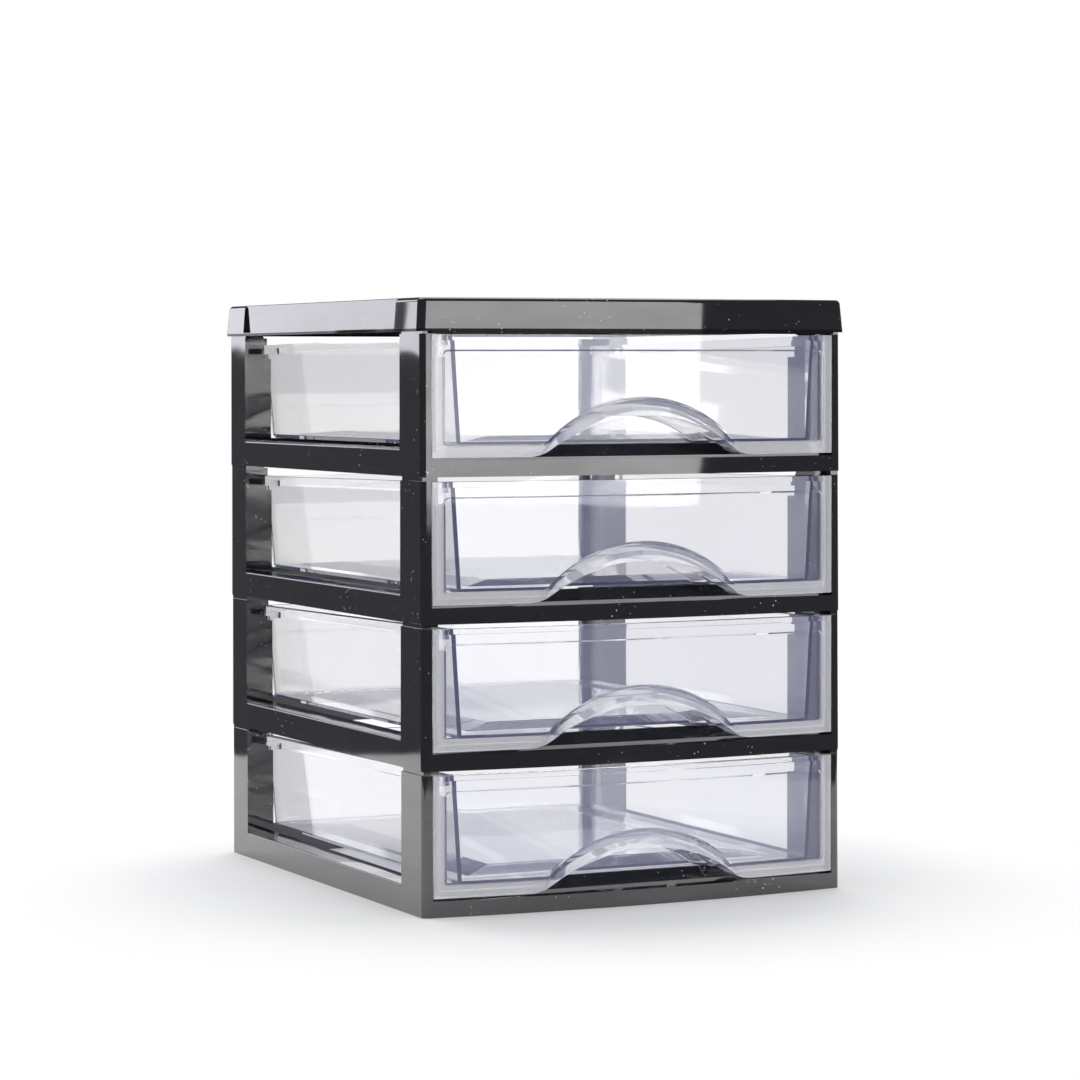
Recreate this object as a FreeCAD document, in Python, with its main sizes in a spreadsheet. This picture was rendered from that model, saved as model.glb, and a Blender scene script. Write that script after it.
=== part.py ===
import FreeCAD, Part
import os
import re

import Sketcher

# Desktop tower of four clear drawers in four stacked black frames under a lid.
# Millimetres. X runs across the front, Y from front to back, Z up from the table.
# The origin is under the middle of the whole tower.

# Driving sizes, each with what it measures
SIZES = {
    # whole tower
    "tier_count": (4, "drawers in the stack"),
    "tier_pitch": (61.25, "height of one tier, seat to seat"),
    "frame_width": (200.0, "width of a frame"),
    "frame_depth": (227.0, "depth of a frame at its corners"),
    "front_bow": (6.8, "how far the middle of the front stands before its corners"),
    "overrun": (3.0, "how far a cut runs past the solid that it cuts"),
    # frame
    "corner_radius": (2.4, "upright corners of a frame"),
    "post_draft": (0.25, "lean of a frame's outside, degrees"),
    "wall": (2.0, "moulded wall of frames and lid"),
    "front_post_depth": (23.0, "front post, front to back"),
    "rear_post_depth": (20.6, "rear post, front to back"),
    "guide_thickness": (13.0, "post with its drawer guide, across"),
    "guide_drop": (11.45, "tier's top above the drawer guides"),
    "upper_thickness": (9.7, "post above its guide, across"),
    "flange_width": (4.4, "narrow front edge of a post, beside the drawer front"),
    "rabbet_depth": (5.3, "depth of the step that takes the drawer front"),
    "rear_leg_width": (17.5, "rear leg that closes a back corner, across"),
    "rear_leg_thickness": (4.0, "rear leg, front to back"),
    "rail_depth": (12.0, "front and back rails, front to back"),
    "rail_wall": (2.6, "side walls of the hollow side rails"),
    "side_rail_height": (11.6, "side rails"),
    "front_lip_height": (6.9, "lip below the drawer front"),
    "ridge_height": (12.5, "ridges of the front and back rails that carry a drawer"),
    "ridge_bevel": (4.8, "sloping front of the ridge behind the drawer front"),
    "rail_edge_radius": (0.7, "rounded top edge of the side rails"),
    "neck_height": (1.7, "shadow gap between two tiers"),
    "neck_inset": (0.8, "how far the shadow gap goes in"),
    "peg_height": (5.0, "stacking pegs above their seat"),
    "peg_draft": (3.0, "lean of the stacking pegs, degrees"),
    "peg_clearance": (0.3, "play of a peg in its socket"),
    # drawer
    "panel_clearance": (0.4, "gap between drawer front and post, each side"),
    "lower_gap": (1.1, "gap between the drawer front and the lip below it"),
    "upper_gap": (2.05, "drawer front below the tier's top"),
    "panel_depth": (5.0, "drawer front with its turned edges, at the corners"),
    "plate": (2.2, "thickness of the clear plate"),
    "border_step": (0.9, "how far the border stands proud of the window"),
    "border_width": (5.0, "border beside the window"),
    "lower_border": (5.4, "border below the window"),
    "upper_border": (7.0, "border above the window"),
    "window_radius": (2.4, "corners of the window"),
    "turned_edge": (2.4, "thickness of the drawer front's turned edges"),
    "top_edge_depth": (4.6, "turned top edge of the drawer front, front to back"),
    "running_gap": (0.3, "play between a drawer and the ridges that it runs on"),
    "tub_wall": (1.8, "walls and floor of a drawer"),
    "tub_play": (0.4, "gap between the tub at its top and the guides"),
    "tub_draft": (3.5, "lean of the drawer walls, degrees"),
    "tub_back_gap": (6.8, "gap between the tub at its top and the back of the frame"),
    "tub_corner_radius": (6.0, "upright back corners of a drawer"),
    "tub_foot_bevel": (1.5, "bevelled lower edge of a drawer"),
    "rim_play": (0.8, "gap between the rim and a post, each side"),
    "rim_gap": (2.25, "rim behind the drawer front below the tier's top"),
    "rim_fall": (3.0, "how far the rim falls towards the back"),
    "rim_height": (4.3, "height of the rim"),
    "rim_back": (2.2, "rim behind the back wall"),
    "hip_width": (26.0, "sloping border of the drawer floor"),
    "hip_rise": (1.8, "how far the middle of the floor is raised"),
    "lug_place": (38.0, "catch face of the stop lugs before the back of the frame"),
    "lug_length": (13.0, "stop lugs, front to back"),
    "lug_height": (2.8, "stop lugs"),
    "lug_reach": (2.0, "how far the stop lugs stand out of the rim"),
    # pull: an arched brow over a finger opening, closed behind by an alcove
    "pull_proud": (3.5, "how far the brow stands before the drawer front"),
    "pull_reach": (50.0, "half width over which the brow comes forward"),
    "crest_half": (44.0, "half width of the brow's upper line"),
    "crest_lift": (6.6, "ends of the brow's upper line above the drawer front's lower edge"),
    "crest_rise": (18.4, "rise of the brow's upper line"),
    "crest_blend": (5.0, "round between the window's lower edge and the brow"),
    "brow_half": (43.0, "half width of the brow's front edge"),
    "brow_lift": (5.6, "ends of the brow's front edge above the drawer front's lower edge"),
    "brow_rise": (15.7, "rise of the brow's front edge"),
    "brow_wall": (3.0, "brow from its front edge to the finger pocket"),
    "opening_half": (47.5, "half width of the finger opening"),
    "opening_rise": (17.0, "rise of the finger opening"),
    "opening_blend": (15.0, "round between the finger opening and the lower edge"),
    "alcove_depth": (14.0, "alcove behind the opening, from the frame's corners"),
    "alcove_fall": (6.5, "how far the alcove's roof falls towards its back"),
    "alcove_angle": (96.0, "angle that the alcove's round roof spans, degrees"),
    "pocket_fall": (4.0, "how far the finger pocket's roof falls into the brow"),
    "edge_bevel": (0.7, "bevel round the window"),
    # lid
    "lid_overhang": (1.4, "how far the lid stands out over the frame"),
    "lid_height": (13.3, "lid above the seat of the top tier"),
    "lid_skirt": (0.7, "how far the lid's edge hangs below that seat"),
    "lid_draft": (4.5, "lean of the lid's sides, degrees"),
    "lid_top_radius": (2.0, "rounded top edge of the lid"),
    "lid_corner_radius": (3.2, "upright corners of the lid"),
    "lid_sweep": (24.0, "angle over which the lid's bowed front is turned, degrees"),
    "lip_inset": (0.6, "how far the lid's front lip sits back"),
    "lip_drop": (1.6, "how far the front lip hangs below the seat"),
    "lip_band": (0.5, "part of the front lip above the seat that shows"),
    "side_step": (0.8, "depth of the long recess in the lid's sides"),
    "side_sill": (0.6, "edge left under that recess"),
    "groove_width": (1.2, "short upright groove where a side meets its front corner block"),
    "groove_bottom": (3.4, "lower end of that groove above the lid's seat"),
    "groove_height": (7.2, "height of that groove"),
    "tray_inset": (6.0, "border round the shallow tray in the lid's top"),
    "tray_depth": (1.2, "depth of that tray"),
}

# Heights above a tier's seat and places behind the frame's corners that follow from those sizes
TIED = {
    "guide_top": ("=tier_pitch - guide_drop", "top of the drawer guides"),
    "panel_bottom": ("=front_lip_height + lower_gap", "lower edge of the drawer front"),
    "panel_top": ("=tier_pitch - upper_gap", "upper edge of the drawer front"),
    "window_bottom": ("=front_lip_height + lower_gap + lower_border", "lower edge of the window"),
    "window_top": ("=tier_pitch - upper_gap - upper_border", "upper edge of the window"),
    "rim_front": ("=tier_pitch - rim_gap", "top of the rim behind the drawer front"),
    "rim_rear": ("=tier_pitch - rim_gap - rim_fall", "top of the rim at the back"),
    "lug_front": ("=frame_depth - lug_place", "catch face of the stop lugs behind the corners"),
    "crest_foot": ("=front_lip_height + lower_gap + crest_lift", "ends of the brow's upper line"),
    "brow_foot": ("=front_lip_height + lower_gap + brow_lift", "ends of the brow's front edge"),
}

# Two lengths closer than this count as the same
HAIR = 1e-3

NAMED = {**SIZES, **TIED}
WORD = re.compile(r"[a-z][a-z_]*")

doc = FreeCAD.newDocument("desktop_drawers")
sheet = doc.addObject("Spreadsheet::Sheet", "Sizes")
for row, (alias, (entry, meaning)) in enumerate(NAMED.items(), start=1):
    sheet.set("A%d" % row, meaning)
    sheet.set("B%d" % row, str(entry))
    sheet.setAlias("B%d" % row, alias)
doc.recompute()


def tied(text):
    """An expression in which each size is read from the sheet."""
    return WORD.sub(lambda word: "Sizes." + word.group() if word.group() in NAMED else word.group(), text)


def value(text):
    """The number that an expression comes to."""
    return float(sheet.evalExpression(tied(text)))


# Places that several sub-parts share, as expressions
FRONT = "(front_bow + pull_proud - (frame_depth + lid_overhang + front_bow + pull_proud) / 2)"
BACK = f"({FRONT} + frame_depth)"
SIDE = "(frame_width / 2)"
FAR_FRONT = f"({FRONT} - front_bow - pull_proud - overrun)"
POST_TOP = "(tier_pitch - neck_height)"
BOW_RADIUS = "((frame_width^2 / 4 + front_bow^2) / (2 * front_bow))"


def behind(distance):
    """Y of a place that lies so far behind the frame's front corners."""
    return f"({FRONT} + {distance})"


def bowed(x, inset):
    """Y of the bowed front at x, moved back by an inset."""
    return f"({FRONT} - front_bow + {BOW_RADIUS} - sqrt(({BOW_RADIUS} - ({inset}))^2 - ({x})^2))"


def bow_rise(x, inset):
    """Rise of the bowed front between its middle and x."""
    return f"(({BOW_RADIUS} - ({inset})) - sqrt(({BOW_RADIUS} - ({inset}))^2 - ({x})^2))"


def new_body(label, level):
    """An empty body whose seat is at the given tier level."""
    body = doc.addObject("PartDesign::Body", label)
    body.Label = label
    body.setExpression("Placement.Base.z", tied(f"{level} * tier_pitch"))
    return body


def sketch_on(body, name, role, lift="0"):
    """A sketch on one of the body's own planes, lifted along its normal."""
    plane = next(one for one in body.Origin.OriginFeatures if one.Role == role)
    sketch = body.newObject("Sketcher::SketchObject", name)
    sketch.AttachmentSupport = [(plane, "")]
    sketch.MapMode = "FlatFace"
    sketch.setExpression("AttachmentOffset.Base.z", tied(lift))
    return sketch


def hold(sketch, kind, *where, name, text):
    """One dimension of a sketch, tied to the sheet."""
    dimension = Sketcher.Constraint(kind, *where, value(text))
    dimension.Name = name
    sketch.addConstraint(dimension)
    sketch.setExpression("Constraints." + name, tied(text))


def outline(sketch, corners, arcs=None):
    """A closed outline through corners, anticlockwise; arcs gives the rise of the sides that are arcs.

    A positive rise swells the outline outwards and a rise that starts with a minus draws it inwards.
    """
    arcs = arcs or {}
    count = len(corners)
    points = [FreeCAD.Vector(value(x), value(y), 0) for x, y in corners]
    starts, ends = [], []
    for side in range(count):
        first, last = points[side], points[(side + 1) % count]
        if side in arcs:
            across = last - first
            out = FreeCAD.Vector(across.y, -across.x, 0).normalize()
            crown = (first + last) * 0.5 + out * value(arcs[side])
            index = sketch.addGeometry(Part.Arc(first, crown, last), False)
            forward = sketch.getPoint(index, 1).distanceToPoint(first) < across.Length / 2
        else:
            index = sketch.addGeometry(Part.LineSegment(first, last), False)
            forward = True
        starts.append((index, 1 if forward else 2))
        ends.append((index, 2 if forward else 1))
    for side in range(count):
        after = (side + 1) % count
        sketch.addConstraint(Sketcher.Constraint("Coincident", *ends[side], *starts[after]))
    for side, (x, y) in enumerate(corners):
        tag = "%d" % starts[side][0]
        hold(sketch, "DistanceX", -1, 1, *starts[side], name="across" + tag, text=x)
        hold(sketch, "DistanceY", -1, 1, *starts[side], name="along" + tag, text=y)
        if side in arcs:
            (x2, y2), rise = corners[(side + 1) % count], arcs[side].lstrip("-")
            chord = f"((({x2}) - ({x}))^2 + (({y2}) - ({y}))^2)"
            radius = f"({chord} / 4 + ({rise})^2) / (2 * ({rise}))"
            hold(sketch, "Radius", starts[side][0], name="radius" + tag, text=radius)


def rectangle(sketch, x1, x2, y1, y2):
    """A rectangle between two places across and two along."""
    outline(sketch, [(x1, y1), (x2, y1), (x2, y2), (x1, y2)])


def pair(sketch, x1, x2, y1, y2):
    """The same rectangle left and right of the middle."""
    rectangle(sketch, x1, x2, y1, y2)
    rectangle(sketch, f"-({x2})", f"-({x1})", y1, y2)


def pad(body, name, sketch, length, taper=None, midplane=False):
    """Material grown from a sketch."""
    feature = body.newObject("PartDesign::Pad", name)
    feature.Profile = sketch
    feature.setExpression("Length", tied(length))
    feature.Midplane = midplane
    if taper:
        feature.setExpression("TaperAngle", tied(taper))
    doc.recompute()
    return feature


def pocket(body, name, sketch, length, midplane=False, up=True):
    """Material taken away from a sketch, along its normal when up is true."""
    before = body.Tip.Shape.Volume
    feature = body.newObject("PartDesign::Pocket", name)
    feature.Profile = sketch
    feature.setExpression("Length", tied(length))
    feature.Midplane = midplane
    feature.Reversed = up
    doc.recompute()
    if not feature.Shape.Volume < before:
        raise RuntimeError(f"{body.Label}: {name} cuts nothing")
    return feature


def loft(body, name, sketches):
    """Material grown between sections, straight from one to the next."""
    before = body.Tip.Shape.Volume
    feature = body.newObject("PartDesign::AdditiveLoft", name)
    feature.Profile = sketches[0]
    feature.Sections = sketches[1:]
    feature.Ruled = True
    doc.recompute()
    if not feature.Shape.Volume > before:
        raise RuntimeError(f"{body.Label}: {name} adds nothing")
    return feature


def turned(body, name, sketch, axis, angle, cut=False):
    """Material added or taken away by turning a sketch about its own axis, half the angle each way."""
    before = body.Tip.Shape.Volume
    feature = body.newObject("PartDesign::Groove" if cut else "PartDesign::Revolution", name)
    feature.Profile = sketch
    feature.ReferenceAxis = (sketch, [axis])
    feature.setExpression("Angle", tied(angle))
    feature.Midplane = True
    doc.recompute()
    change = feature.Shape.Volume - before
    if not (change < 0 if cut else change > 0):
        raise RuntimeError(f"{body.Label}: {name} changes nothing")
    return feature


def wedge(body, name, low, high, cut=False):
    """A block with leaning sides between two level rectangles, each (half width, front, back, height)."""
    feature = body.newObject("PartDesign::SubtractiveWedge" if cut else "PartDesign::AdditiveWedge", name)
    feature.Placement = FreeCAD.Placement(FreeCAD.Vector(), FreeCAD.Rotation(FreeCAD.Vector(1, 0, 0), 90))
    for mark, (half, front, back, height) in (("", low), ("2", high)):
        feature.setExpression(f"X{mark}min", tied(f"-({half})"))
        feature.setExpression(f"X{mark}max", tied(half))
        feature.setExpression(f"Z{mark}min", tied(f"-({back})"))
        feature.setExpression(f"Z{mark}max", tied(f"-({front})"))
        feature.setExpression("Ymin" if mark == "" else "Ymax", tied(height))
    doc.recompute()
    return feature


def rounded(body, name, chosen, radius, chamfer=False):
    """The edges of the body's last feature that a test chooses, rounded or chamfered."""
    base = body.Tip
    names = ["Edge%d" % (i + 1) for i, edge in enumerate(base.Shape.Edges) if chosen(edge)]
    if not names:
        raise RuntimeError(f"{body.Label}: {name} finds no edge")
    feature = body.newObject("PartDesign::Chamfer" if chamfer else "PartDesign::Fillet", name)
    feature.Base = (base, names)
    feature.setExpression("Size" if chamfer else "Radius", tied(radius))
    doc.recompute()
    return feature


def upright(edge, reach):
    """True for an edge that climbs most of a reach."""
    box = edge.BoundBox
    return box.ZLength > reach and box.XLength < reach / 4 and box.YLength < reach / 4


# Frame: four posts on a ring of rails, open above, below and behind
def make_frame(label, level):
    body = new_body(label, level)
    inner = f"({SIDE} - guide_thickness)"
    upper = f"({SIDE} - upper_thickness)"
    leg = f"({SIDE} - rear_leg_width)"
    leg_front = f"({BACK} - rear_leg_thickness)"
    front_post = (FRONT, behind("front_post_depth"))
    rear_post = (f"({BACK} - rear_post_depth)", BACK)

    sketch = sketch_on(body, "frame_outline", "XY_Plane")
    outline(sketch, [(f"-{SIDE}", FRONT), (SIDE, FRONT), (SIDE, BACK), (f"-{SIDE}", BACK)], {0: "front_bow"})
    pad(body, "outer_block", sketch, POST_TOP, taper="-post_draft")
    rounded(body, "outer_corners", lambda edge: upright(edge, value("tier_pitch / 2")), "corner_radius")

    # necks leave a shadow gap under the next tier, and pegs centre it
    sketch = sketch_on(body, "neck_outlines", "XY_Plane", POST_TOP)
    neck_out = f"({SIDE} - neck_inset)"
    for low, high in (front_post, rear_post):
        pair(sketch, upper, neck_out, f"({low} + neck_inset)", f"({high} - neck_inset)")
    pad(body, "necks", sketch, "neck_height")

    hollow_in = f"({upper} + wall)"
    hollow_out = f"({SIDE} - wall)"
    hollows = ((behind("rabbet_depth + wall"), f"({front_post[1]} - wall)"),
               (f"({rear_post[0]} + wall)", f"({leg_front} - wall)"))
    sketch = sketch_on(body, "peg_outlines", "XY_Plane", "tier_pitch")
    for low, high in hollows:
        pair(sketch, f"({hollow_in} + peg_clearance)", f"({hollow_out} - peg_clearance)",
             f"({low} + peg_clearance)", f"({high} - peg_clearance)")
    pad(body, "pegs", sketch, "peg_height", taper="-peg_draft")

    # the drawer's space, from the table up
    sketch = sketch_on(body, "core_outline", "XY_Plane")
    rectangle(sketch, f"-{inner}", inner, behind("rail_depth"), f"({BACK} - rail_depth)")
    pocket(body, "core", sketch, "tier_pitch")

    sketch = sketch_on(body, "mouth_outline", "XY_Plane", "ridge_height")
    outline(sketch, [(f"-{inner}", FAR_FRONT), (inner, FAR_FRONT), (inner, leg_front), (leg, leg_front),
                     (leg, f"({BACK} + overrun)"), (f"-{leg}", f"({BACK} + overrun)"),
                     (f"-{leg}", leg_front), (f"-{inner}", leg_front)])
    pocket(body, "mouth", sketch, "tier_pitch")

    rabbet = f"({SIDE} - flange_width)"
    sketch = sketch_on(body, "rabbet_outline", "XY_Plane", "front_lip_height")
    rectangle(sketch, f"-{rabbet}", rabbet, FAR_FRONT, behind("rabbet_depth"))
    pocket(body, "rabbet", sketch, "tier_pitch")

    sketch = sketch_on(body, "relief_outline", "XY_Plane", "guide_top")
    rectangle(sketch, f"-{upper}", upper, FRONT, leg_front)
    pocket(body, "rim_relief", sketch, "tier_pitch")

    # side windows between the posts, open at the top
    sketch = sketch_on(body, "side_windows_outline", "YZ_Plane")
    rectangle(sketch, front_post[1], rear_post[0], "side_rail_height", "tier_pitch")
    pocket(body, "side_windows", sketch, "frame_width + overrun", midplane=True)
    height = value("side_rail_height")
    rounded(body, "side_rail_edges",
            lambda edge: edge.BoundBox.ZLength < HAIR and abs(edge.CenterOfMass.z - height) < HAIR
            and edge.BoundBox.YLength > value("frame_depth / 2")
            and abs(edge.CenterOfMass.x) > value(f"{SIDE} - wall"), "rail_edge_radius")

    # the ridge behind the drawer front slopes away from the fingers
    crest_y, crest_z = value(behind("rabbet_depth")), value("ridge_height")
    rounded(body, "ridge_slope",
            lambda edge: edge.BoundBox.ZLength < HAIR and edge.BoundBox.YLength < HAIR
            and abs(edge.CenterOfMass.y - crest_y) < HAIR and abs(edge.CenterOfMass.z - crest_z) < HAIR,
            "ridge_bevel", chamfer=True)

    # moulded hollows from below: sockets in the posts, channels in the rails
    sketch = sketch_on(body, "socket_outlines", "XY_Plane")
    for low, high in hollows:
        pair(sketch, hollow_in, hollow_out, low, high)
    pocket(body, "sockets", sketch, f"{POST_TOP} - wall")

    sketch = sketch_on(body, "side_channel_outlines", "XY_Plane")
    pair(sketch, f"({inner} + rail_wall)", f"({SIDE} - rail_wall)", front_post[1], rear_post[0])
    pocket(body, "side_channels", sketch, "side_rail_height - wall")

    sketch = sketch_on(body, "back_channel_outline", "XY_Plane")
    channel = f"({inner} - wall)"
    rectangle(sketch, "-" + channel, channel, f"({BACK} - rail_depth + wall)", f"({BACK} - wall)")
    pocket(body, "back_channel", sketch, "ridge_height - wall")

    sketch = sketch_on(body, "front_channel_outline", "XY_Plane")
    outline(sketch, [(f"-{inner}", bowed(inner, "wall")), (inner, bowed(inner, "wall")),
                     (inner, behind("rail_depth - wall")), (f"-{inner}", behind("rail_depth - wall"))],
            {0: bow_rise(inner, "wall")})
    pocket(body, "front_channel", sketch, "front_lip_height - wall")
    return body


# Drawer: one clear moulding of front plate, tub, rim, stop lugs and arched pull
PANEL = f"({SIDE} - flange_width - panel_clearance)"
BACK_FACE = "(border_step + plate)"
TUB_BOTTOM = "(ridge_height + running_gap)"
TUB_TOP_HALF = f"({SIDE} - guide_thickness - tub_play)"
TUB_TOP_BACK = f"({BACK} - tub_back_gap)"
PLATE_MIDDLE = f"({FRONT} - front_bow + border_step + plate / 2)"


def lean(low, high):
    """How far a leaning wall moves out between two heights."""
    return f"(({high}) - ({low})) * tan(tub_draft)"


def tub_level(height, inset, front):
    """The tub's rectangle at a height, its walls moved in by an inset: half width, front, back, height."""
    side = f"({TUB_TOP_HALF} - {lean(height, 'rim_front')} - ({inset}))"
    rear = f"({TUB_TOP_BACK} - {lean(height, 'rim_front')} - ({inset}))"
    return side, front, rear, height


def floor_level(height, inset):
    """A rectangle over the drawer floor, so far in from the walls' feet."""
    front = behind(f"(panel_depth + {inset})")
    side, front, rear, _ = tub_level(TUB_BOTTOM, f"tub_foot_bevel + {inset}", front)
    return side, front, rear, height


def lens(body, name, half, inset, back, lift):
    """A sketch that fills the bow of the front: an arc before, a straight line behind."""
    sketch = sketch_on(body, name, "XY_Plane", lift)
    edge = bowed(half, inset)
    corners = [(f"-{half}", edge), (half, edge), (half, back), (f"-{half}", back)]
    outline(sketch, corners, {0: bow_rise(half, inset)})
    return sketch


def band(body, name, thickness, lift, height):
    """A layer of the drawer front behind its border, bowed before and behind."""
    back = f"border_step + {thickness}"
    sketch = sketch_on(body, name + "_outline", "XY_Plane", lift)
    outline(sketch, [(f"-{PANEL}", bowed(PANEL, "border_step")), (PANEL, bowed(PANEL, "border_step")),
                     (PANEL, bowed(PANEL, back)), (f"-{PANEL}", bowed(PANEL, back))],
            {0: bow_rise(PANEL, "border_step"), 2: "-" + bow_rise(PANEL, back)})
    return pad(body, name, sketch, height)


def blended_arch(half, foot, rise, line, blend):
    """An arch that runs out into a level line by round blends: its corners and the rises of its arcs."""
    radius = f"((({half})^2 + ({rise})^2) / (2 * ({rise})))"
    centre = f"({foot} + {rise} - {radius})"
    height = f"({line} + {blend} - {centre})"
    across = f"sqrt(({radius} + {blend})^2 - {height}^2)"
    touch_share = f"({radius} / ({radius} + {blend}))"
    touch = (f"({across} * {touch_share})", f"({centre} + {height} * {touch_share})")
    chord = f"(({across} * (1 - {touch_share}))^2 + ({touch[1]} - {line})^2)"
    blend_rise = f"({blend} - sqrt({blend}^2 - {chord} / 4))"
    crown_rise = f"({centre} + {radius} - {touch[1]})"
    return f"({across})", touch, blend_rise, crown_rise


def brow_section(body, name, y, half, foot, rise):
    """The brow's band across the front, between an upper line and the finger opening."""
    sketch = sketch_on(body, name, "XZ_Plane", f"-({y})")
    outline(sketch, [(half, foot), (f"-({half})", foot), ("-opening_half", "panel_bottom"),
                     ("opening_half", "panel_bottom")], {0: rise, 2: "-opening_rise"})
    return sketch


def make_drawer(label, level):
    body = new_body(label, level)
    window = f"({PANEL} - border_width)"
    panel_height = "(panel_top - panel_bottom)"

    # border layer, from which the window and the brow's upper line are cut
    sketch = sketch_on(body, "border_outline", "XY_Plane", "panel_bottom")
    outline(sketch, [(f"-{PANEL}", bowed(PANEL, "0")), (PANEL, bowed(PANEL, "0")),
                     (PANEL, bowed(PANEL, "border_step")), (f"-{PANEL}", bowed(PANEL, "border_step"))],
            {0: bow_rise(PANEL, "0"), 2: "-" + bow_rise(PANEL, "border_step")})
    pad(body, "border", sketch, panel_height)
    crest = ("crest_half", "crest_foot", "crest_rise", "window_bottom", "crest_blend")
    foot_x, (touch_x, touch_z), blend_rise, crown_rise = blended_arch(*crest)
    sketch = sketch_on(body, "window_outline", "XZ_Plane", f"-{FAR_FRONT}")
    outline(sketch, [(f"-{window}", "window_bottom"), (f"-{foot_x}", "window_bottom"),
                     (f"-{touch_x}", touch_z), (touch_x, touch_z), (foot_x, "window_bottom"),
                     (window, "window_bottom"), (window, "window_top"), (f"-{window}", "window_top")],
            {1: blend_rise, 2: "-" + crown_rise, 3: blend_rise})
    pocket(body, "window", sketch, "front_bow + pull_proud + panel_depth + overrun", up=False)
    edge_x = value(window)

    def at_corner(edge):
        """True for a short edge that runs through the border at a corner of the window."""
        box = edge.BoundBox
        straight = box.XLength < HAIR and box.ZLength < HAIR and box.YLength > HAIR
        return straight and abs(abs(edge.CenterOfMass.x) - edge_x) < HAIR

    rounded(body, "window_corners", at_corner, "window_radius")
    middle = FreeCAD.Vector(0, value(f"{FRONT} - front_bow + {BOW_RADIUS}"), 0)

    def on_front(edge):
        """True for an edge round the window that lies in the bowed front face."""
        for vertex in edge.Vertexes:
            away = FreeCAD.Vector(vertex.X, vertex.Y, 0) - middle
            inside = value("panel_bottom + edge_bevel") < vertex.Z < value("panel_top - edge_bevel")
            if abs(away.Length - value(BOW_RADIUS)) > HAIR or not inside:
                return False
        return True

    rounded(body, "window_bevel", on_front, "edge_bevel", chamfer=True)

    # plate behind the border, with its sides and lower edge turned back
    band(body, "plate", "plate", "panel_bottom", panel_height)
    inside = f"({PANEL} - turned_edge)"
    sketch = sketch_on(body, "side_edge_outlines", "XY_Plane", "panel_bottom")
    pair(sketch, inside, PANEL, bowed(inside, "border_step + plate / 2"), behind("panel_depth"))
    pad(body, "side_edges", sketch, panel_height)
    sketch = lens(body, "lower_edge_outline", PANEL, "border_step", behind("panel_depth"), "panel_bottom")
    pad(body, "lower_edge", sketch, "turned_edge")

    # tub with leaning walls and a rim that falls towards the back
    top = "(rim_front + overrun)"
    foot_half = tub_level(TUB_BOTTOM, "0", "0")[0]
    front_y = bowed(foot_half, "border_step + plate / 2")
    wedge(body, "tub", tub_level(TUB_BOTTOM, "0", front_y), tub_level(top, "0", front_y))
    tall = value("tier_pitch / 2")
    rounded(body, "tub_corners", lambda edge: upright(edge, tall) and edge.CenterOfMass.y > 0,
            "tub_corner_radius")
    lens_back = f"({front_y} + wall)"
    sketch = lens(body, "tub_bow_outline", foot_half, "border_step + plate / 2", lens_back, TUB_BOTTOM)
    pad(body, "tub_bow", sketch, f"rim_front - {TUB_BOTTOM}")
    foot, foot_start, shortest = value(TUB_BOTTOM), value(behind("panel_depth")), value("tub_corner_radius")
    rounded(body, "tub_foot_edge",
            lambda edge: edge.BoundBox.ZLength < HAIR and abs(edge.CenterOfMass.z - foot) < HAIR
            and edge.CenterOfMass.y > foot_start and edge.Length > shortest, "tub_foot_bevel", chamfer=True)

    rim = f"({SIDE} - upper_thickness - rim_play)"
    rim_end = f"({TUB_TOP_BACK} + rim_back)"
    rim_start = behind("panel_depth - plate / 2")
    sketch = sketch_on(body, "rim_outline", "YZ_Plane")
    outline(sketch, [(rim_start, "rim_front - rim_height"), (rim_end, "rim_rear - rim_height"),
                     (rim_end, top), (rim_start, top)])
    pad(body, "rim", sketch, f"2 * {rim}", midplane=True)
    floor_top = f"({TUB_BOTTOM} + tub_wall)"
    inner_half = tub_level(floor_top, "tub_wall", "0")[0]
    inner_front = bowed(inner_half, BACK_FACE)
    wedge(body, "cavity", tub_level(floor_top, "tub_wall", inner_front),
          tub_level(top, "tub_wall", inner_front), cut=True)
    sketch = lens(body, "cavity_bow_outline", inner_half, BACK_FACE, f"({inner_front} + wall)", floor_top)
    pocket(body, "cavity_bow", sketch, "tier_pitch")
    corner_x, near = value(tub_level("rim_front / 2", "tub_wall", "0")[0]), value("tub_wall / 2")
    rounded(body, "cavity_corners", lambda edge: upright(edge, tall) and edge.CenterOfMass.y > 0
            and abs(abs(edge.CenterOfMass.x) - corner_x) < near, "tub_corner_radius - tub_wall")
    sketch = sketch_on(body, "above_rim_outline", "YZ_Plane")
    plate_end = behind("panel_depth")
    over = f"({top} + overrun)"
    beyond = f"({rim_end} + overrun)"
    outline(sketch, [(FAR_FRONT, "panel_top"), (plate_end, "panel_top"), (plate_end, "rim_front"),
                     (rim_end, "rim_rear"), (beyond, "rim_rear"), (beyond, over), (FAR_FRONT, over)])
    pocket(body, "above_rim", sketch, "frame_width", midplane=True)
    band(body, "top_edge", "top_edge_depth", "panel_top - turned_edge", "turned_edge")

    # floor raised by a sloping hip along all four sides
    wedge(body, "floor_hip", floor_level(f"({TUB_BOTTOM} + tub_wall / 2)", "0"),
          floor_level(f"({floor_top} + hip_rise)", "hip_width"))
    wedge(body, "floor_recess", floor_level(TUB_BOTTOM, "0"),
          floor_level(f"({TUB_BOTTOM} + hip_rise)", "hip_width"), cut=True)

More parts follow.
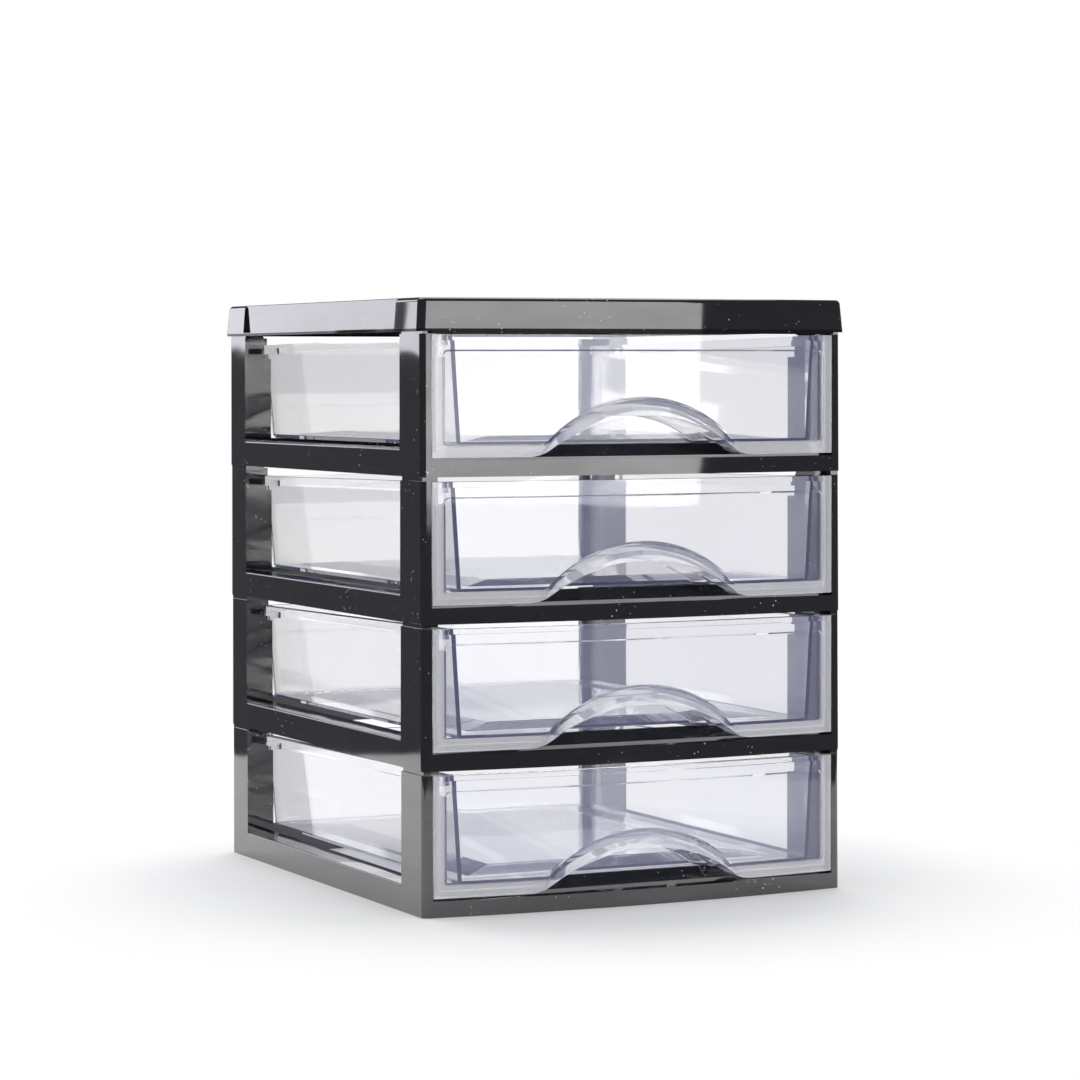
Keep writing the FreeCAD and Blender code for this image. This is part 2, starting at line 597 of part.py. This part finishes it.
    # stop lugs that catch behind the front posts when the drawer is out
    lug_front = behind("lug_front")
    lug_back = behind("lug_front + lug_length")
    slope = "(rim_front - (rim_front - rim_rear) * (lug_front + lug_length) / frame_depth)"
    sketch = sketch_on(body, "lug_outlines", "XY_Plane", f"({slope} - rim_height)")
    root = f"({rim} - wall)"
    catch = f"({rim} + lug_reach)"
    outline(sketch, [(root, lug_front), (catch, lug_front), (rim, lug_back), (root, lug_back)])
    outline(sketch, [(f"-{root}", lug_back), (f"-{rim}", lug_back), (f"-{catch}", lug_front),
                     (f"-{root}", lug_front)])
    pad(body, "stop_lugs", sketch, "lug_height")

    # alcove behind the finger opening: a round roof that falls towards the back
    crest_radius = "((crest_half^2 + crest_rise^2) / (2 * crest_rise))"
    crest_centre = f"(crest_foot + crest_rise - {crest_radius})"
    root_y = PLATE_MIDDLE
    back_y = behind("alcove_depth")
    low_radius = f"({TUB_BOTTOM} - {crest_centre} - 2 * overrun)"
    sketch = sketch_on(body, "alcove_profile", "YZ_Plane")
    sketch.setExpression("AttachmentOffset.Base.y", tied(crest_centre))
    outline(sketch, [(root_y, low_radius), (back_y, low_radius), (back_y, f"({crest_radius} - alcove_fall)"),
                     (root_y, crest_radius)])
    turned(body, "alcove", sketch, "H_Axis", "alcove_angle")
    sketch = sketch_on(body, "alcove_foot_outline", "XY_Plane", TUB_BOTTOM)
    rectangle(sketch, "-opening_half", "opening_half", behind("panel_depth"), f"({back_y} + overrun)")
    pocket(body, "alcove_foot", sketch, "tier_pitch", up=False)

    # brow that stands forward over the opening, drawn back to the panel at both ends
    tip = f"({FRONT} - front_bow - pull_proud)"
    loft(body, "brow", [brow_section(body, "brow_root", root_y, "crest_half", "crest_foot", "crest_rise"),
                        brow_section(body, "brow_front", tip, "brow_half", "brow_foot", "brow_rise")])
    end_y = bowed("pull_reach", "0")
    sketch = sketch_on(body, "brow_trim_outline", "XY_Plane")
    outline(sketch, [("-pull_reach", end_y), ("-pull_reach", FAR_FRONT), ("pull_reach", FAR_FRONT),
                     ("pull_reach", end_y)], {3: f"-({end_y} - {tip})"})
    pocket(body, "brow_trim", sketch, "panel_top")

    # finger space: the alcove, the pocket in the brow and the opening below it
    mouth_y = f"({FRONT} - front_bow + {BACK_FACE})"
    deep_radius = f"({low_radius} - 2 * overrun)"
    inner_radius = f"({crest_radius} - tub_wall)"
    sketch = sketch_on(body, "finger_space_profile", "YZ_Plane")
    sketch.setExpression("AttachmentOffset.Base.y", tied(crest_centre))
    outline(sketch, [(f"({tip} + brow_wall)", deep_radius), (f"({back_y} - tub_wall)", deep_radius),
                     (f"({back_y} - tub_wall)", f"({inner_radius} - alcove_fall)"), (mouth_y, inner_radius),
                     (f"({tip} + brow_wall)", f"({inner_radius} - pocket_fall)")])
    turned(body, "finger_space", sketch, "H_Axis", "alcove_angle", cut=True)
    opening = ("opening_half", "panel_bottom", "opening_rise", "panel_bottom", "opening_blend")
    foot_x, (touch_x, touch_z), blend_rise, crown_rise = blended_arch(*opening)
    sketch = sketch_on(body, "opening_outline", "XZ_Plane", f"-{FAR_FRONT}")
    below = "(panel_bottom - tier_pitch / 4)"
    outline(sketch, [(foot_x, "panel_bottom"), (touch_x, touch_z), (f"-{touch_x}", touch_z),
                     (f"-{foot_x}", "panel_bottom"), (f"-{foot_x}", below), (foot_x, below)],
            {0: "-" + blend_rise, 1: crown_rise, 2: "-" + blend_rise})
    pocket(body, "opening", sketch, "front_bow + pull_proud + panel_depth + overrun", up=False)
    return body


# Lid: a shallow cap with a tray top, seated on the pegs of the top frame
def make_lid(label, level):
    body = new_body(label, level)
    side = f"({SIDE} + lid_overhang)"
    back = f"({BACK} + lid_overhang)"
    lid_lean = "(lid_height * tan(lid_draft))"
    low_lean = "(lid_skirt * tan(lid_draft))"
    bow_middle = f"({FRONT} - front_bow + {BOW_RADIUS})"
    bow_reach = f"({BOW_RADIUS} + lid_overhang)"
    wedge(body, "lid_block", (f"({side} + {low_lean})", FAR_FRONT, f"({back} + {low_lean})", "-lid_skirt"),
          (f"({side} - {lid_lean})", FAR_FRONT, f"({back} - {lid_lean})", "lid_height"))
    sketch = sketch_on(body, "lid_front_profile", "YZ_Plane")
    sketch.setExpression("AttachmentOffset.Base.x", tied(bow_middle))
    outline(sketch, [(f"-({bow_reach} + 2 * front_bow)", "-lid_height"),
                     (f"-({bow_reach} + {lid_lean})", "-lid_height"),
                     (f"-({bow_reach} - 2 * {lid_lean})", "2 * lid_height"),
                     (f"-({bow_reach} + 2 * front_bow)", "2 * lid_height")])
    turned(body, "lid_front", sketch, "V_Axis", "lid_sweep", cut=True)
    rounded(body, "lid_corners", lambda edge: upright(edge, value("lid_height / 2")), "lid_corner_radius")
    top = value("lid_height")
    rounded(body, "lid_top_edge",
            lambda edge: edge.BoundBox.ZLength < HAIR and abs(edge.CenterOfMass.z - top) < HAIR,
            "lid_top_radius")

    # long shallow recesses in both sides, between the corner blocks
    sketch = sketch_on(body, "side_recess_outline", "XY_Plane", "side_sill")
    pair(sketch, f"({side} - {lid_lean} - side_step)", f"({side} + overrun)",
         behind("front_post_depth + wall"), f"({BACK} - rear_post_depth - wall)")
    pocket(body, "side_recesses", sketch, "lid_height")

    sketch = sketch_on(body, "side_groove_outlines", "XY_Plane", "groove_bottom")
    pair(sketch, f"({side} - {lid_lean} - 2 * side_step)", f"({side} + overrun)",
         behind("front_post_depth + wall"), behind("front_post_depth + wall + groove_width"))
    pocket(body, "side_grooves", sketch, "groove_height")

    sketch = sketch_on(body, "tray_outline", "XY_Plane", "lid_height - tray_depth")
    tray = f"({SIDE} - tray_inset)"
    outline(sketch, [(f"-{tray}", bowed(tray, "tray_inset")), (tray, bowed(tray, "tray_inset")),
                     (tray, f"({BACK} - tray_inset)"), (f"-{tray}", f"({BACK} - tray_inset)")],
            {0: bow_rise(tray, "tray_inset")})
    pocket(body, "tray", sketch, "lid_height")

    # hollow underside, leaving a block with a socket over each post
    inside = f"({SIDE} - wall)"
    ledge = f"({SIDE} - guide_thickness)"
    sketch = sketch_on(body, "seat_outline", "XY_Plane", "-lid_skirt")
    skirt_side, skirt_inset = f"({side} - wall)", "(wall - lid_overhang)"
    skirt_front = bowed(skirt_side, skirt_inset)
    outline(sketch, [(f"-{skirt_side}", skirt_front), (skirt_side, skirt_front),
                     (skirt_side, f"({back} - wall)"), (f"-{skirt_side}", f"({back} - wall)")],
            {0: bow_rise(skirt_side, skirt_inset)})
    pocket(body, "seat", sketch, "lid_skirt")
    hollow = "lid_height - tray_depth - wall"
    sketch = sketch_on(body, "hollow_outline", "XY_Plane")
    front_block, rear_block = behind("front_post_depth"), f"({BACK} - rear_post_depth)"
    right_half = [(ledge, bowed(ledge, "2 * wall")), (ledge, front_block),
                  (f"({inside} - wall)", front_block), (f"({inside} - wall)", rear_block),
                  (ledge, rear_block), (ledge, f"({BACK} - wall)")]
    left_half = [(f"-{x}", y) for x, y in reversed(right_half)]
    outline(sketch, left_half[-1:] + right_half + left_half[:-1], {0: bow_rise(ledge, "2 * wall")})
    pocket(body, "underside", sketch, hollow)
    sketch = sketch_on(body, "lid_socket_outlines", "XY_Plane")
    hollow_in = f"({SIDE} - upper_thickness + wall)"
    for low, high in ((behind("rabbet_depth + wall"), behind("front_post_depth - wall")),
                      (f"({BACK} - rear_post_depth + wall)", f"({BACK} - rear_leg_thickness - wall)")):
        pair(sketch, hollow_in, inside, low, high)
    pocket(body, "lid_sockets", sketch, "peg_height + wall")

    # front lip that closes the gap above the top drawer, set back a little
    lip = f"({SIDE} - flange_width)"
    sketch = sketch_on(body, "lip_outline", "XY_Plane", "-lip_drop")
    outer, inner = "lip_inset - lid_overhang", "lip_inset - lid_overhang + wall"
    outline(sketch, [(f"-{lip}", bowed(lip, outer)), (lip, bowed(lip, outer)),
                     (lip, bowed(lip, inner)), (f"-{lip}", bowed(lip, inner))],
            {0: bow_rise(lip, outer), 2: "-" + bow_rise(lip, inner)})
    pad(body, "front_lip", sketch, "lip_drop + lip_band")
    return body


count = int(value("tier_count"))
nodes = []
for level in range(count):
    number = count - level
    nodes.append(make_frame(f"frame_{number}", level))
    nodes.append(make_drawer(f"drawer_{number}", level))
nodes.append(make_lid("lid", count))
doc.recompute()

# Every object must have come out whole before anything is written
for thing in doc.Objects:
    if {"Invalid", "Error"} & set(thing.State):
        raise RuntimeError(f"{thing.Label} failed: {thing.State}")
os.makedirs("parts", exist_ok=True)
for node in nodes:
    if node.Shape.isNull() or not node.Shape.isValid() or len(node.Shape.Solids) != 1:
        raise RuntimeError(f"{node.Label} is not one valid solid")
    node.Shape.exportStep(os.path.join("parts", node.Label + ".step"))
    print(node.Label, round(node.Shape.Volume / 1000, 2), "cm3", node.Shape.BoundBox)
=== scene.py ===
import math

import bpy
from mathutils import Matrix, Vector


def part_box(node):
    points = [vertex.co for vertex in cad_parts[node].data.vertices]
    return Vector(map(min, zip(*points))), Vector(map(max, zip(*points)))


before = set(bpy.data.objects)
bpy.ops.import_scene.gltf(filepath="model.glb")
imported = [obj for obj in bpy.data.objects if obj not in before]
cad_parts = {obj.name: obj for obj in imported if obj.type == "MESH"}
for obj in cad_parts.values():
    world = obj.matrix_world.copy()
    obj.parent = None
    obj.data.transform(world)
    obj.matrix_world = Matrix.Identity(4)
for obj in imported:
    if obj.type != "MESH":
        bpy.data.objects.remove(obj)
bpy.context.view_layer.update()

scene = bpy.context.scene
FRAME_NODES = ("frame_1", "frame_2", "frame_3", "frame_4")
DRAWER_NODES = ("drawer_1", "drawer_2", "drawer_3", "drawer_4")
WHITE = (1.0, 1.0, 1.0, 1.0)
# almost all values of a noise lie between these two
NOISE_LOW, NOISE_HIGH = 0.3, 0.7


# Node helpers
def new_material(name):
    mat = bpy.data.materials.new(name)
    mat.use_nodes = True
    mat.node_tree.nodes.clear()
    return mat, mat.node_tree


def node(tree, kind, inputs=(), **settings):
    """A node whose inputs are fed by other nodes' outputs or set to fixed values."""
    made = tree.nodes.new(kind)
    for key, setting in settings.items():
        setattr(made, key, setting)
    for name, given in dict(inputs).items():
        if isinstance(given, bpy.types.NodeSocket):
            tree.links.new(given, made.inputs[name])
        else:
            made.inputs[name].default_value = given
    return made


def surface_coords(tree):
    return node(tree, "ShaderNodeTexCoord").outputs["Object"]


def split(tree, coords):
    parts = node(tree, "ShaderNodeSeparateXYZ", {"Vector": coords}).outputs
    return parts["X"], parts["Y"], parts["Z"]


def calculated(tree, operation, *terms):
    return node(tree, "ShaderNodeMath", enumerate(terms), operation=operation).outputs["Value"]


def remap(tree, value, low, high, out_low, out_high):
    inputs = {"Value": value, "From Min": low, "From Max": high, "To Min": out_low, "To Max": out_high}
    return node(tree, "ShaderNodeMapRange", inputs).outputs["Result"]


def noise(tree, coords, scale, detail=3.0, rough=0.5):
    inputs = {"Vector": coords, "Scale": scale, "Detail": detail, "Roughness": rough}
    return node(tree, "ShaderNodeTexNoise", inputs).outputs["Fac"]


def drifting(tree, coords, scale, low, high, **kind):
    """A value that drifts between two others over the surface."""
    return remap(tree, noise(tree, coords, scale, **kind), NOISE_LOW, NOISE_HIGH, low, high)


def waviness(tree, coords, scale, strength, distance):
    """The faint waves of a moulded face."""
    waves = noise(tree, coords, scale, detail=1.0, rough=0.3)
    inputs = {"Height": waves, "Strength": strength, "Distance": distance}
    return node(tree, "ShaderNodeBump", inputs).outputs["Normal"]


def mixed_colour(tree, factor, first, second):
    inputs = {"Factor": factor, "A": first, "B": second}
    return node(tree, "ShaderNodeMix", inputs, data_type="RGBA").outputs["Result"]


def mixed_shader(tree, factor, first, second):
    return node(tree, "ShaderNodeMixShader", {0: factor, 1: first, 2: second}).outputs["Shader"]


def principled(tree, inputs):
    return node(tree, "ShaderNodeBsdfPrincipled", inputs).outputs["BSDF"]


def to_output(tree, kind, surface):
    node(tree, kind, {"Surface": surface})


def seen_ray(tree):
    """One for rays from the camera and for those that come through clear plastic."""
    rays = node(tree, "ShaderNodeLightPath").outputs
    return calculated(tree, "MAXIMUM", rays["Is Camera Ray"], rays["Is Transmission Ray"])


def mirrored_ray(tree):
    """One for rays that gloss throws back."""
    return node(tree, "ShaderNodeLightPath").outputs["Is Glossy Ray"]


# Glossy black moulded plastic
BLACK_IOR = 1.75
BLACK_BASE = (0.0075, 0.0075, 0.0095, 1.0)
BLACK_ROUGHNESS = {"scale": 34.0, "low": 0.025, "high": 0.06}
BLACK_WAVES = {"scale": 26.0, "strength": 0.35, "distance": 0.0006}
DUST_BASE = (0.3, 0.3, 0.31, 1.0)
DUST_SCALE = 420.0
DUST_PATCHES = {"scale": 55.0, "detail": 2.0}
DUSTY_FROM, DUSTY_TO = 0.44, 0.72
SPECK_RADIUS = 0.17
STREAK_STRETCH = (0.35, 0.35, 1.6)
STREAKS = {"scale": 42.0, "low": 0.44, "high": 0.56, "detail": 4.0, "rough": 0.6}
# painted shade: the lid's lowest band barely mirrors, standing in for the shade of a lip that faces
# down
PAINTED_LIP_SHADE_HEIGHT = 0.0020
PAINTED_LIP_SHADE_BLUR = 0.0001
PAINTED_LIP_SHADE_SHINE = 0.05


def black_plastic(name, painted_lip_shade_top=None):
    """Glossy black; when a lip top is given, the band below it mirrors almost nothing: painted shade
    in place of a lip that faces down.
    """
    mat, tree = new_material(name)
    coords = surface_coords(tree)

    # dust specks on the gloss, in patches
    specks = node(tree, "ShaderNodeTexVoronoi", {"Vector": coords, "Scale": DUST_SCALE})
    patches = noise(tree, coords, **DUST_PATCHES)
    size = remap(tree, patches, DUSTY_FROM, DUSTY_TO, 0.0, SPECK_RADIUS)
    dust = calculated(tree, "LESS_THAN", specks.outputs["Distance"], size)

    # streaks where the gloss is a little stronger or weaker
    drawn = node(tree, "ShaderNodeMapping", {"Vector": coords, "Scale": STREAK_STRETCH})
    shine = drifting(tree, drawn.outputs["Vector"], **STREAKS)
    # painted shade: below the lip top the gloss is almost switched off, in place of a real down-facing
    # lip
    if painted_lip_shade_top is not None:
        height = split(tree, coords)[2]
        painted_lip_shade_factor = remap(tree, height, painted_lip_shade_top - PAINTED_LIP_SHADE_BLUR, painted_lip_shade_top + PAINTED_LIP_SHADE_BLUR, PAINTED_LIP_SHADE_SHINE, 1.0)
        shine = calculated(tree, "MULTIPLY", shine, painted_lip_shade_factor)

    to_output(tree, "ShaderNodeOutputMaterial", principled(tree, {
        "Base Color": mixed_colour(tree, dust, BLACK_BASE, DUST_BASE),
        "Roughness": drifting(tree, coords, **BLACK_ROUGHNESS),
        "IOR": BLACK_IOR,
        "Specular IOR Level": shine,
        "Normal": waviness(tree, coords, **BLACK_WAVES),
    }))
    return mat


# Clear moulded plastic with a cool haze
CLEAR_IOR = 1.47
CLEAR_TONES = ((0.95, 0.945, 0.924, 1.0), (0.968, 0.963, 0.943, 1.0))
CLEAR_TONE_SCALE = 18.0
CLEAR_ROUGHNESS = {"scale": 45.0, "low": 0.01, "high": 0.035}
CLEAR_WAVES = {"scale": 20.0, "strength": 0.15, "distance": 0.0004}
SHADOW_TINT = (0.93, 0.94, 0.96, 1.0)
HAZE_TONE = (0.52, 0.56, 0.98, 1.0)
HAZE_ROUGHNESS = 0.35
HAZE_DENSITY = {"scale": 9.0, "low": 0.05, "high": 0.07}
BORDER_TONE = (0.86, 0.86, 0.92, 1.0)
BORDER_DENSITY = 0.2
# how far in from the outlines of a drawer the border's haze begins to fade and has faded
SIDE_FADE = (0.0048, 0.0051)
LOWER_FADE = (0.0053, 0.0055)
BROW_FADE = (0.0029, 0.0032)
FRONT_FADE = (0.0155, 0.0160)


def near_low(tree, value, outline, fade):
    """One beside an outline on the low side, and zero further in."""
    return remap(tree, value, outline + fade[0], outline + fade[1], 1.0, 0.0)


def near_high(tree, value, outline, fade):
    """One beside an outline on the high side, and zero further in."""
    return remap(tree, value, outline - fade[1], outline - fade[0], 0.0, 1.0)


def front_border(tree, coords):
    """One in the sides, the lower edge and the brow of a drawer's front, and zero elsewhere."""
    across, along, height = split(tree, coords)
    low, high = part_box("drawer_4")
    tier_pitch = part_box("drawer_3")[0].z - low.z
    tier_height = calculated(tree, "MODULO", height, tier_pitch)
    sides = near_high(tree, calculated(tree, "ABSOLUTE", across), high.x, SIDE_FADE)
    lower = near_low(tree, tier_height, low.z, LOWER_FADE)
    brow = near_low(tree, along, low.y, BROW_FADE)
    front = near_low(tree, along, low.y, FRONT_FADE)
    edges = calculated(tree, "MAXIMUM", calculated(tree, "MAXIMUM", sides, lower), brow)
    return calculated(tree, "MULTIPLY", edges, front)


def clear_plastic():
    mat, tree = new_material("clear_plastic")
    coords = surface_coords(tree)
    clear = principled(tree, {
        "Base Color": mixed_colour(tree, noise(tree, coords, CLEAR_TONE_SCALE), *CLEAR_TONES),
        "Roughness": drifting(tree, coords, **CLEAR_ROUGHNESS),
        "IOR": CLEAR_IOR,
        "Transmission Weight": 1.0,
        "Normal": waviness(tree, coords, **CLEAR_WAVES),
    })

    # a cool haze that shows against dark things behind it, paler and denser in the border
    border = front_border(tree, coords)
    haze = principled(tree, {
        "Base Color": mixed_colour(tree, border, HAZE_TONE, BORDER_TONE),
        "Roughness": HAZE_ROUGHNESS,
    })
    thin = drifting(tree, coords, **HAZE_DENSITY)
    density = calculated(tree, "MULTIPLY_ADD", border, BORDER_DENSITY, thin)
    hazed = mixed_shader(tree, density, clear, haze)

    # lamps shine through the thin walls
    through = node(tree, "ShaderNodeBsdfTransparent", {"Color": SHADOW_TINT}).outputs["BSDF"]
    shadow_ray = node(tree, "ShaderNodeLightPath").outputs["Is Shadow Ray"]
    to_output(tree, "ShaderNodeOutputMaterial", mixed_shader(tree, shadow_ray, hazed, through))
    return mat


def dress(name, mat):
    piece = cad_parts[name]
    if not piece.material_slots:
        piece.data.materials.append(mat)
    for place in piece.material_slots:
        place.link = "OBJECT"
        place.material = mat


def dress_pieces():
    black = black_plastic("black_plastic")
    clear = clear_plastic()
    dress("lid", black_plastic("lid_plastic", painted_lip_shade_top=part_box("lid")[0].z + PAINTED_LIP_SHADE_HEIGHT))
    for name in FRAME_NODES:
        dress(name, black)
    for name in DRAWER_NODES:
        dress(name, clear)


dress_pieces()


# Pale floor that keeps the tower's shadow
FLOOR_SIZE = 30.0
SHEET_TONES = ((0.80, 0.80, 0.80, 1.0), (0.82, 0.82, 0.82, 1.0))
SHEET_TONE_SCALE = 3.0
SHEET_GLOW = 0.55
SHEET_END = (0.715, 0.740)
END_WAVES = {"scale": 6.0, "detail": 1.0}
END_WANDER = 0.25
ROOM_TONE = (0.9, 0.92, 1.0, 1.0)
ROOM_GLOW = 0.16
SHADE_TONE = (0.68, 0.68, 0.68, 1.0)
SHADE_GLOW = 0.18
PAPER_FROM, PAPER_TO = 0.17, 0.29


def glowing(tree, strength, colour=WHITE):
    inputs = {"Color": colour, "Strength": strength}
    return node(tree, "ShaderNodeEmission", inputs).outputs["Emission"]


def glowing_matt(tree, colour, strength):
    matt = node(tree, "ShaderNodeBsdfDiffuse", {"Color": colour}).outputs["BSDF"]
    inputs = {0: matt, 1: glowing(tree, strength)}
    return node(tree, "ShaderNodeAddShader", inputs).outputs["Shader"]


def pale_floor():
    bpy.ops.mesh.primitive_plane_add(size=FLOOR_SIZE)
    floor = bpy.context.object
    floor.name = "floor"
    mat, tree = new_material("pale_floor")
    coords = surface_coords(tree)
    reach = node(tree, "ShaderNodeVectorMath", {0: coords}, operation="LENGTH").outputs["Value"]

    # mirrored in the gloss, the pale sheet ends about 0.6 m out and the room beyond is dim
    tone = mixed_colour(tree, noise(tree, coords, SHEET_TONE_SCALE), *SHEET_TONES)
    wavy_reach = calculated(tree, "MULTIPLY_ADD", noise(tree, coords, **END_WAVES), END_WANDER, reach)
    far = remap(tree, wavy_reach, *SHEET_END, 0.0, 1.0)
    mirrored_far = calculated(tree, "MULTIPLY", far, mirrored_ray(tree))
    sheet = glowing_matt(tree, tone, SHEET_GLOW)
    sheet_and_room = mixed_shader(tree, mirrored_far, sheet, glowing(tree, ROOM_GLOW, ROOM_TONE))

    # looked at, directly or through the plastic, it is white but for the tower's shadow
    outside = remap(tree, reach, PAPER_FROM, PAPER_TO, 0.0, 1.0)
    shade = glowing_matt(tree, SHADE_TONE, SHADE_GLOW)
    paper = mixed_shader(tree, outside, shade, glowing(tree, 1.0))
    to_output(tree, "ShaderNodeOutputMaterial",
              mixed_shader(tree, seen_ray(tree), sheet_and_room, paper))
    floor.data.materials.append(mat)


pale_floor()


# White surroundings, dim where gloss mirrors them
DIM_TONE = (0.92, 0.95, 1.0, 1.0)
DIM_STRENGTH = 0.155
AIR_TONE = (0.96, 0.98, 1.0, 1.0)
AIR_STRENGTH = 0.55


def backdrop(tree, colour, strength):
    inputs = {"Color": colour, "Strength": strength}
    return node(tree, "ShaderNodeBackground", inputs).outputs["Background"]


def surroundings():
    world = bpy.data.worlds.new("studio")
    scene.world = world
    world.use_nodes = True
    tree = world.node_tree
    tree.nodes.clear()
    air = backdrop(tree, AIR_TONE, AIR_STRENGTH)
    dim = backdrop(tree, DIM_TONE, DIM_STRENGTH)
    unseen = mixed_shader(tree, mirrored_ray(tree), air, dim)
    white = backdrop(tree, WHITE, 1.0)
    to_output(tree, "ShaderNodeOutputWorld", mixed_shader(tree, seen_ray(tree), unseen, white))


surroundings()


# Soft boxes
LAVENDER = (0.93, 0.92, 1.0)
BACK_Y = 2.32
BACK_RADIANCE = 3.4
# panels behind the tower, each with its middle (across, up), width and height
BACK_PANELS = {
    "back_left": (-0.755, 0.72, 0.53, 0.76),
    "back_left_strip": (-0.835, 0.30, 0.69, 0.08),
    "back_left_patch": (-1.14, 0.46, 0.08, 0.12),
}


def soft_box(name, centre, target, width, height, radiance, colour=WHITE[:3]):
    lamp = bpy.data.lights.new(name, "AREA")
    lamp.shape = "RECTANGLE"
    lamp.size, lamp.size_y = width, height
    lamp.energy = radiance * math.pi * width * height
    lamp.color = colour
    holder = bpy.data.objects.new(name, lamp)
    scene.collection.objects.link(holder)
    holder.location = centre
    holder.rotation_euler = (Vector(target) - Vector(centre)).to_track_quat("-Z", "Y").to_euler()


def around(azimuth, distance, height):
    """A place at an azimuth from the front, positive to the right."""
    turn = math.radians(azimuth)
    return (distance * math.sin(turn), -distance * math.cos(turn), height)


def soft_boxes():
    # the front faces mirror the key, up to where its right edge ends
    soft_box("key", centre=around(azimuth=16.5, distance=2.3, height=0.66), target=(0.0, 0.0, 0.5),
             width=1.25, height=1.15, radiance=3.9)
    soft_box("top", centre=(0.1, 0.9, 2.1), target=(0.0, 0.0, 0.0),
             width=2.4, height=2.4, radiance=2.9)
    # the left side of the lid and the drawers' right walls mirror the panels behind
    for name, (across, up, width, height) in BACK_PANELS.items():
        soft_box(name, (across, BACK_Y, up), (across, 0.0, up),
                 width, height, BACK_RADIANCE, LAVENDER)


soft_boxes()


# Camera as fitted to the photograph's edges
SENSOR_WIDTH = 36.0
FOCAL_PIXELS = 3486.0
PHOTO_PIXELS = 1080.0
YAW, PITCH, ROLL = math.radians(25.39), math.radians(2.78), math.radians(-0.13)
CAMERA_ACROSS = -0.6738
CAMERA_BEFORE_CORNERS = 1.3234
CAMERA_HEIGHT = 0.2278
FRONT_BOW = 0.0068


def photo_camera():
    lens = bpy.data.cameras.new("photo_camera")
    lens.sensor_width = SENSOR_WIDTH
    lens.lens = SENSOR_WIDTH * FOCAL_PIXELS / PHOTO_PIXELS
    holder = bpy.data.objects.new("photo_camera", lens)
    scene.collection.objects.link(holder)
    ahead = Vector((
        math.sin(YAW) * math.cos(PITCH),
        math.cos(YAW) * math.cos(PITCH),
        -math.sin(PITCH),
    ))
    level = Vector((math.cos(YAW), -math.sin(YAW), 0.0))
    rise = level.cross(ahead)
    right = math.cos(ROLL) * level + math.sin(ROLL) * rise
    up = math.cos(ROLL) * rise - math.sin(ROLL) * level
    place = Matrix((right, up, -ahead)).transposed().to_4x4()
    front_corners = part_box("frame_4")[0].y + FRONT_BOW
    place.translation = Vector((CAMERA_ACROSS, front_corners - CAMERA_BEFORE_CORNERS, CAMERA_HEIGHT))
    holder.matrix_world = place
    scene.camera = holder


photo_camera()
scene.view_settings.view_transform = "Standard"
